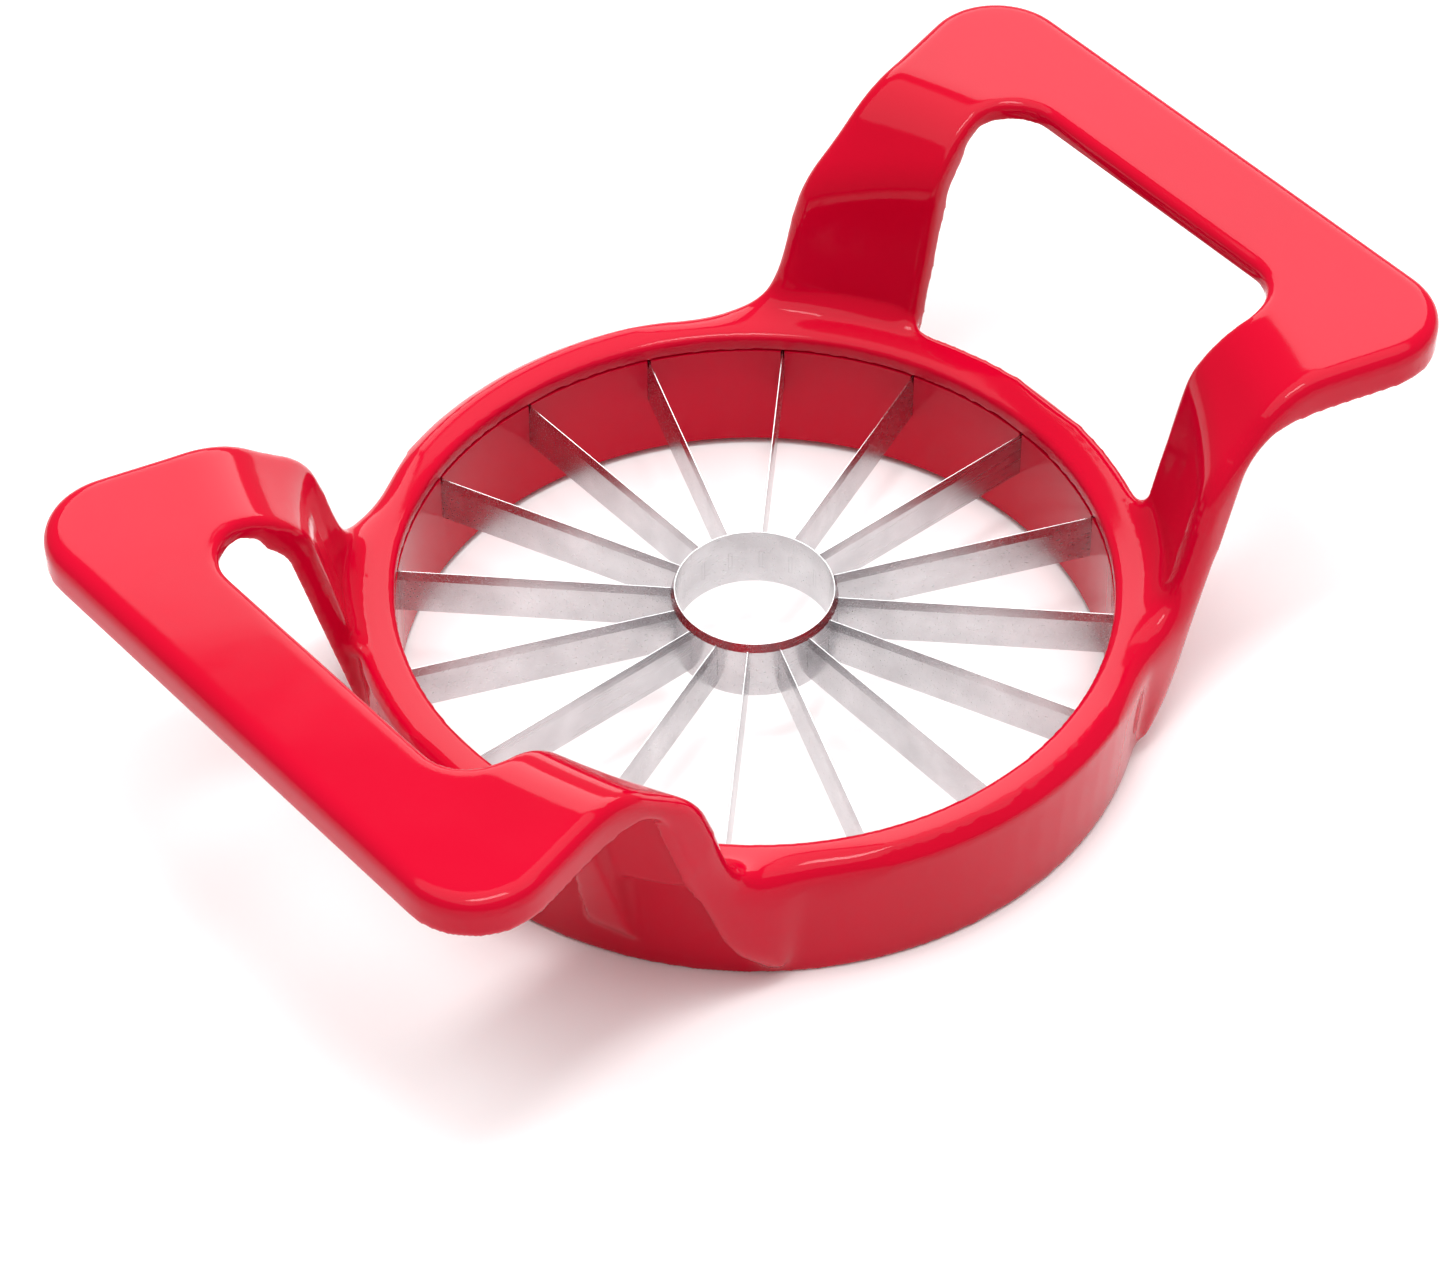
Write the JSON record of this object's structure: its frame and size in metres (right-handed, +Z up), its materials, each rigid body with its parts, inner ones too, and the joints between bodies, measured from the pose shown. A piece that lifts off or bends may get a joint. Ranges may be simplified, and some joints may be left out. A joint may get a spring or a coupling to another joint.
{
  "type": "apple slicer and corer",
  "caption": "Fruit slicer with two raised loop handles: pressed down over an apple, radial blades cut it into wedges and a centre tube takes out the core.",
  "frame": {"origin": "centre of the ring's foot, on the table", "axes": "+Z up along the coring tube's axis, +X through one handle, +Y completes the set; the object is the same after a half turn about Z"},
  "size_m": [0.1788, 0.1134, 0.0525],
  "materials": {
    "red_plastic": "injection-moulded opaque red plastic, polished",
    "blade_steel": "thin rolled stainless strip, ground edge"
  },
  "bodies": {
    "root": {"frame": "red_plastic", "blade_carrier_ring": "red_plastic", "coring_tube": "blade_steel", "blade_01": "blade_steel", "blade_02": "blade_steel", "blade_03": "blade_steel", "blade_04": "blade_steel", "blade_05": "blade_steel", "blade_06": "blade_steel", "blade_07": "blade_steel", "blade_08": "blade_steel", "blade_09": "blade_steel", "blade_10": "blade_steel", "blade_11": "blade_steel", "blade_12": "blade_steel", "blade_13": "blade_steel", "blade_14": "blade_steel", "blade_15": "blade_steel", "blade_16": "blade_steel"}
  },
  "joints": []
}
